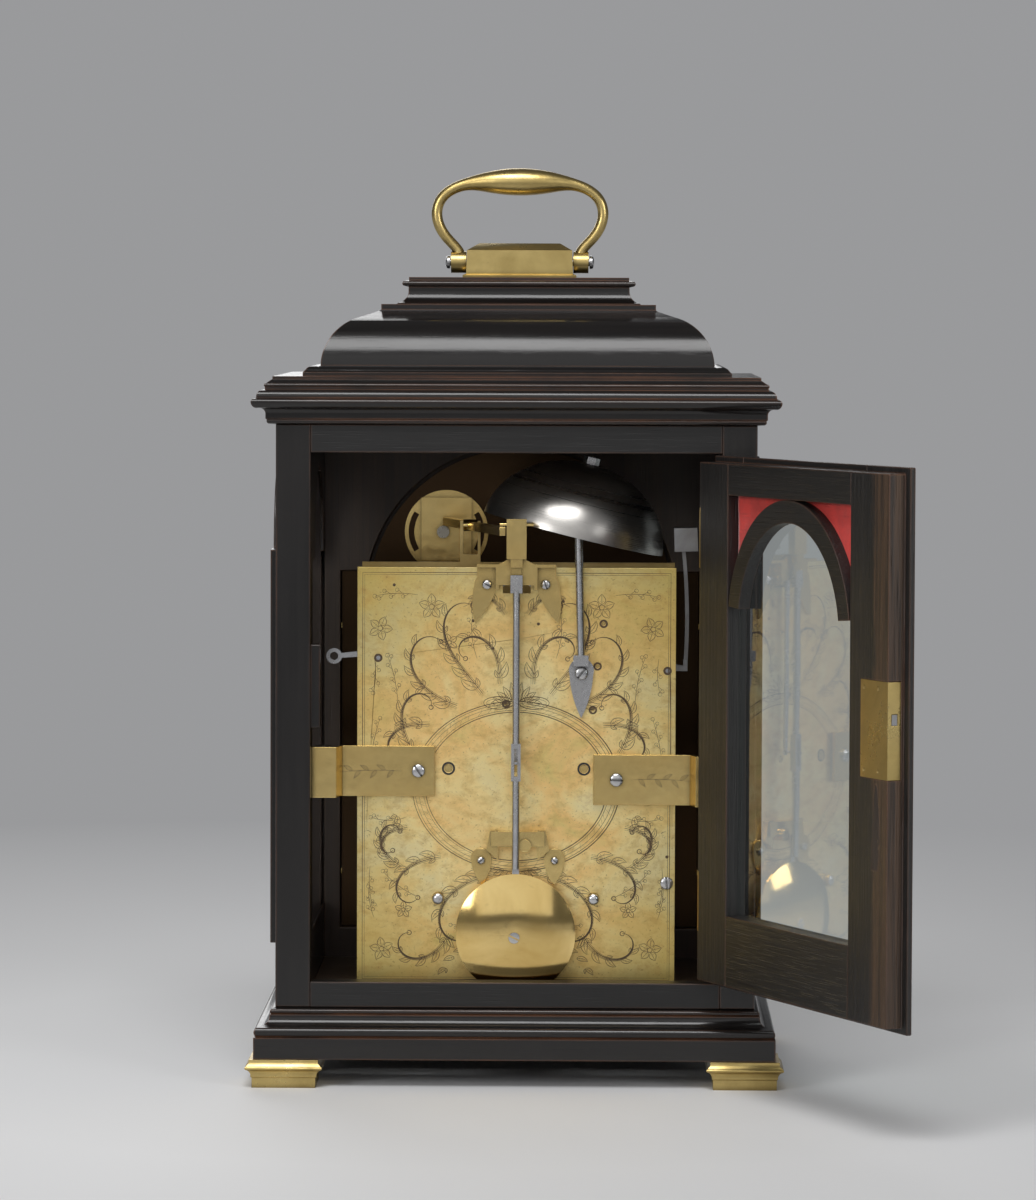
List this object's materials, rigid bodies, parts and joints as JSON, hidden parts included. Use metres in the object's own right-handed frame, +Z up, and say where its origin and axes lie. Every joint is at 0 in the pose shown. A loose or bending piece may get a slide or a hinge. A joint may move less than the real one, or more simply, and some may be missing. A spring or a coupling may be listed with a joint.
{
  "type": "bracket clock",
  "caption": "Ebonised bell-top bracket clock with a carrying handle, its glazed rear door open on an engraved fusee movement with a bell and a short pendulum.",
  "frame": {"origin": "on the surface that the feet stand on, midway between the four feet", "axes": "+Z up; the dial faces -Y and the rear door +Y; +X is to the right of someone who reads the dial"},
  "size_m": [0.3233, 0.3815, 0.4628],
  "materials": {
    "ebonised_wood": "ebonised and wax-polished, worn brown at the edges",
    "oak": "old oak, darkened",
    "gilt_brass": "engraved and once gilt, mottled",
    "brass": "polished",
    "steel": "polished grey",
    "blued_steel": "heat-blued",
    "silvered_brass": "silvered, matt",
    "bell_metal": "bell metal, pale and satin",
    "glass": "clear, thin old glass",
    "red_silk": "woven silk"
  },
  "bodies": {
    "case_and_movement": {"feet": "brass", "base_moulding": "ebonised_wood", "rails_and_boards": "oak", "case_side_left": "ebonised_wood", "case_side_right": "ebonised_wood", "dial_mask": "oak", "cornice": "ebonised_wood", "bell_top": "ebonised_wood", "side_bezels": "ebonised_wood", "side_glasses": "glass", "handle_block": "brass", "screws": "steel", "case_hinges": "brass", "dial_plate": "brass", "silvered_rings": "silvered_brass", "back_plate": "gilt_brass", "front_plate": "brass", "pillars": "brass", "back_cock": "gilt_brass", "regulation_bridge": "brass", "bell_stand": "steel", "bell": "bell_metal", "movement_straps": "gilt_brass", "holdfast": "gilt_brass"},
    "handle": {"handle": "brass"},
    "rear_door": {"rear_door_hinge_stile": "ebonised_wood", "rear_door_lock_stile": "ebonised_wood", "rear_door_top_rail": "ebonised_wood", "rear_door_bottom_rail": "ebonised_wood", "rear_door_arch": "ebonised_wood", "rear_door_glass": "glass", "rear_door_silk": "red_silk", "rear_door_lock": "brass", "rear_door_hinge_leaves": "brass"},
    "rear_lock_bolt": {"rear_lock_bolt": "steel"},
    "front_door": {"front_door_frame": "ebonised_wood", "front_door_glass": "glass"},
    "centre_arbor": {"centre_wheel": "brass", "minute_hand": "blued_steel"},
    "hour_pipe": {"hour_wheel": "brass", "hour_hand": "blued_steel"},
    "minute_wheel": {"minute_wheel": "brass"},
    "third_wheel": {"third_wheel": "brass"},
    "escape_wheel": {"escape_wheel": "brass"},
    "going_fusee": {"going_fusee": "brass"},
    "going_barrel": {"going_barrel": "brass"},
    "strike_fusee": {"strike_fusee": "brass"},
    "strike_barrel": {"strike_barrel": "brass"},
    "pin_wheel": {"pin_wheel": "brass"},
    "warning_wheel": {"warning_wheel": "brass"},
    "fly": {"fly": "brass"},
    "anchor": {"anchor": "steel"},
    "hammer": {"hammer": "steel"},
    "repeat_lever": {"repeat_lever": "steel"},
    "suspension": {"suspension_block": "brass"},
    "pendulum": {"pendulum_rod": "steel", "pendulum_bob": "brass"},
    "regulation_arm": {"regulation_arm": "brass"},
    "regulation_hand": {"regulation_hand": "blued_steel"},
    "strike_silent_hand": {"strike_silent_hand": "blued_steel"}
  },
  "joints": [
    {"name": "rear_door_hinge", "type": "hinge", "parent": "case_and_movement", "child": "rear_door", "pos_m": [-0.1033, 0.0903, 0.186], "axis": [0, 0, 1], "range_deg": [-115, 50]},
    {"name": "rear_lock_bolt_slide", "type": "slide", "parent": "rear_door", "child": "rear_lock_bolt", "axis": [-0.4226, 0.9063, 0], "range_m": [0, 0.005]},
    {"name": "front_door_hinge", "type": "hinge", "parent": "case_and_movement", "child": "front_door", "pos_m": [0.1125, -0.08, 0.186], "axis": [0, 0, 1], "range_deg": [0, 90]},
    {"name": "handle_hinge", "type": "hinge", "parent": "case_and_movement", "child": "handle", "pos_m": [0, 0, 0.4145], "axis": [1, 0, 0], "range_deg": [-85, 85]},
    {"name": "centre_spin", "type": "hinge", "parent": "case_and_movement", "child": "centre_arbor", "pos_m": [0, 0.034, 0.158], "axis": [0, 1, 0], "continuous": true},
    {"name": "going_fusee_spin", "type": "hinge", "parent": "case_and_movement", "child": "going_fusee", "pos_m": [0.0343, 0.034, 0.158], "axis": [0, 1, 0], "continuous": true},
    {"name": "going_barrel_spin", "type": "hinge", "parent": "case_and_movement", "child": "going_barrel", "pos_m": [0.0394, 0.034, 0.092], "axis": [0, 1, 0], "continuous": true},
    {"name": "third_spin", "type": "hinge", "parent": "case_and_movement", "child": "third_wheel", "pos_m": [0.00525, 0.034, 0.19088], "axis": [0, 1, 0], "continuous": true},
    {"name": "escape_spin", "type": "hinge", "parent": "case_and_movement", "child": "escape_wheel", "pos_m": [0, 0.034, 0.22377], "axis": [0, 1, 0], "continuous": true},
    {"name": "minute_wheel_spin", "type": "hinge", "parent": "case_and_movement", "child": "minute_wheel", "pos_m": [0.01273, 0.034, 0.14527], "axis": [0, 1, 0], "continuous": true},
    {"name": "hour_spin", "type": "hinge", "parent": "case_and_movement", "child": "hour_pipe", "pos_m": [0, 0.034, 0.158], "axis": [0, 1, 0], "continuous": true},
    {"name": "pin_wheel_spin", "type": "hinge", "parent": "case_and_movement", "child": "pin_wheel", "pos_m": [-0.0387, 0.034, 0.18798], "axis": [0, 1, 0], "continuous": true},
    {"name": "strike_fusee_spin", "type": "hinge", "parent": "case_and_movement", "child": "strike_fusee", "pos_m": [-0.0343, 0.034, 0.158], "axis": [0, 1, 0], "continuous": true},
    {"name": "strike_barrel_spin", "type": "hinge", "parent": "case_and_movement", "child": "strike_barrel", "pos_m": [-0.0394, 0.034, 0.092], "axis": [0, 1, 0], "continuous": true},
    {"name": "warning_spin", "type": "hinge", "parent": "case_and_movement", "child": "warning_wheel", "pos_m": [-0.041, 0.034, 0.21016], "axis": [0, 1, 0], "continuous": true},
    {"name": "fly_spin", "type": "hinge", "parent": "case_and_movement", "child": "fly", "pos_m": [-0.044, 0.034, 0.23175], "axis": [0, 1, 0], "continuous": true},
    {"name": "hammer_swing", "type": "hinge", "parent": "case_and_movement", "child": "hammer", "pos_m": [-0.0764, 0.034, 0.208], "axis": [0, 1, 0], "range_deg": [-5, 4], "stiffness_Nm_per_rad": 0.6},
    {"name": "repeat_pull", "type": "hinge", "parent": "case_and_movement", "child": "repeat_lever", "pos_m": [0.07, 0.034, 0.214], "axis": [0, 1, 0], "range_deg": [0, 12], "stiffness_Nm_per_rad": 0.3},
    {"name": "suspension_lift", "type": "slide", "parent": "case_and_movement", "child": "suspension", "axis": [0, 0, 1], "range_m": [-0.00204, 0.00204]},
    {"name": "pendulum_swing", "type": "hinge", "parent": "suspension", "child": "pendulum", "pos_m": [0, 0.073, 0.257], "axis": [0, 1, 0], "range_deg": [-2.5, 2.5]},
    {"name": "pallet_swing", "type": "hinge", "parent": "case_and_movement", "child": "anchor", "pos_m": [0, 0.073, 0.257], "axis": [0, 1, 0], "range_deg": [-2.6, 2.6]},
    {"name": "regulation_turn", "type": "hinge", "parent": "case_and_movement", "child": "regulation_hand", "pos_m": [0.039, -0.056, 0.273], "axis": [0, 1, 0], "range_deg": [-75, 75]},
    {"name": "regulation_arm_rock", "type": "hinge", "parent": "case_and_movement", "child": "regulation_arm", "pos_m": [0.0249, 0.0065, 0.279], "axis": [1, 0, 0], "range_deg": [-2, 2]},
    {"name": "strike_silent_turn", "type": "hinge", "parent": "case_and_movement", "child": "strike_silent_hand", "pos_m": [-0.039, -0.056, 0.273], "axis": [0, 1, 0], "range_deg": [-70, 0]}
  ],
  "couplings": [
    {"joint": "going_fusee_spin", "follows": "centre_spin", "ratio": -0.083333},
    {"joint": "going_barrel_spin", "follows": "centre_spin", "ratio": -0.045833},
    {"joint": "third_spin", "follows": "centre_spin", "ratio": -12},
    {"joint": "escape_spin", "follows": "centre_spin", "ratio": 120},
    {"joint": "minute_wheel_spin", "follows": "centre_spin", "ratio": -0.33333},
    {"joint": "hour_spin", "follows": "centre_spin", "ratio": 0.083333},
    {"joint": "strike_fusee_spin", "follows": "pin_wheel_spin", "ratio": -0.083333},
    {"joint": "strike_barrel_spin", "follows": "pin_wheel_spin", "ratio": -0.045833},
    {"joint": "warning_spin", "follows": "pin_wheel_spin", "ratio": -10},
    {"joint": "fly_spin", "follows": "pin_wheel_spin", "ratio": 90},
    {"joint": "pallet_swing", "follows": "pendulum_swing", "ratio": 1},
    {"joint": "regulation_arm_rock", "follows": "suspension_lift", "rad_per_m": 14.992},
    {"joint": "regulation_turn", "follows": "suspension_lift", "rad_per_m": 637.98}
  ]
}
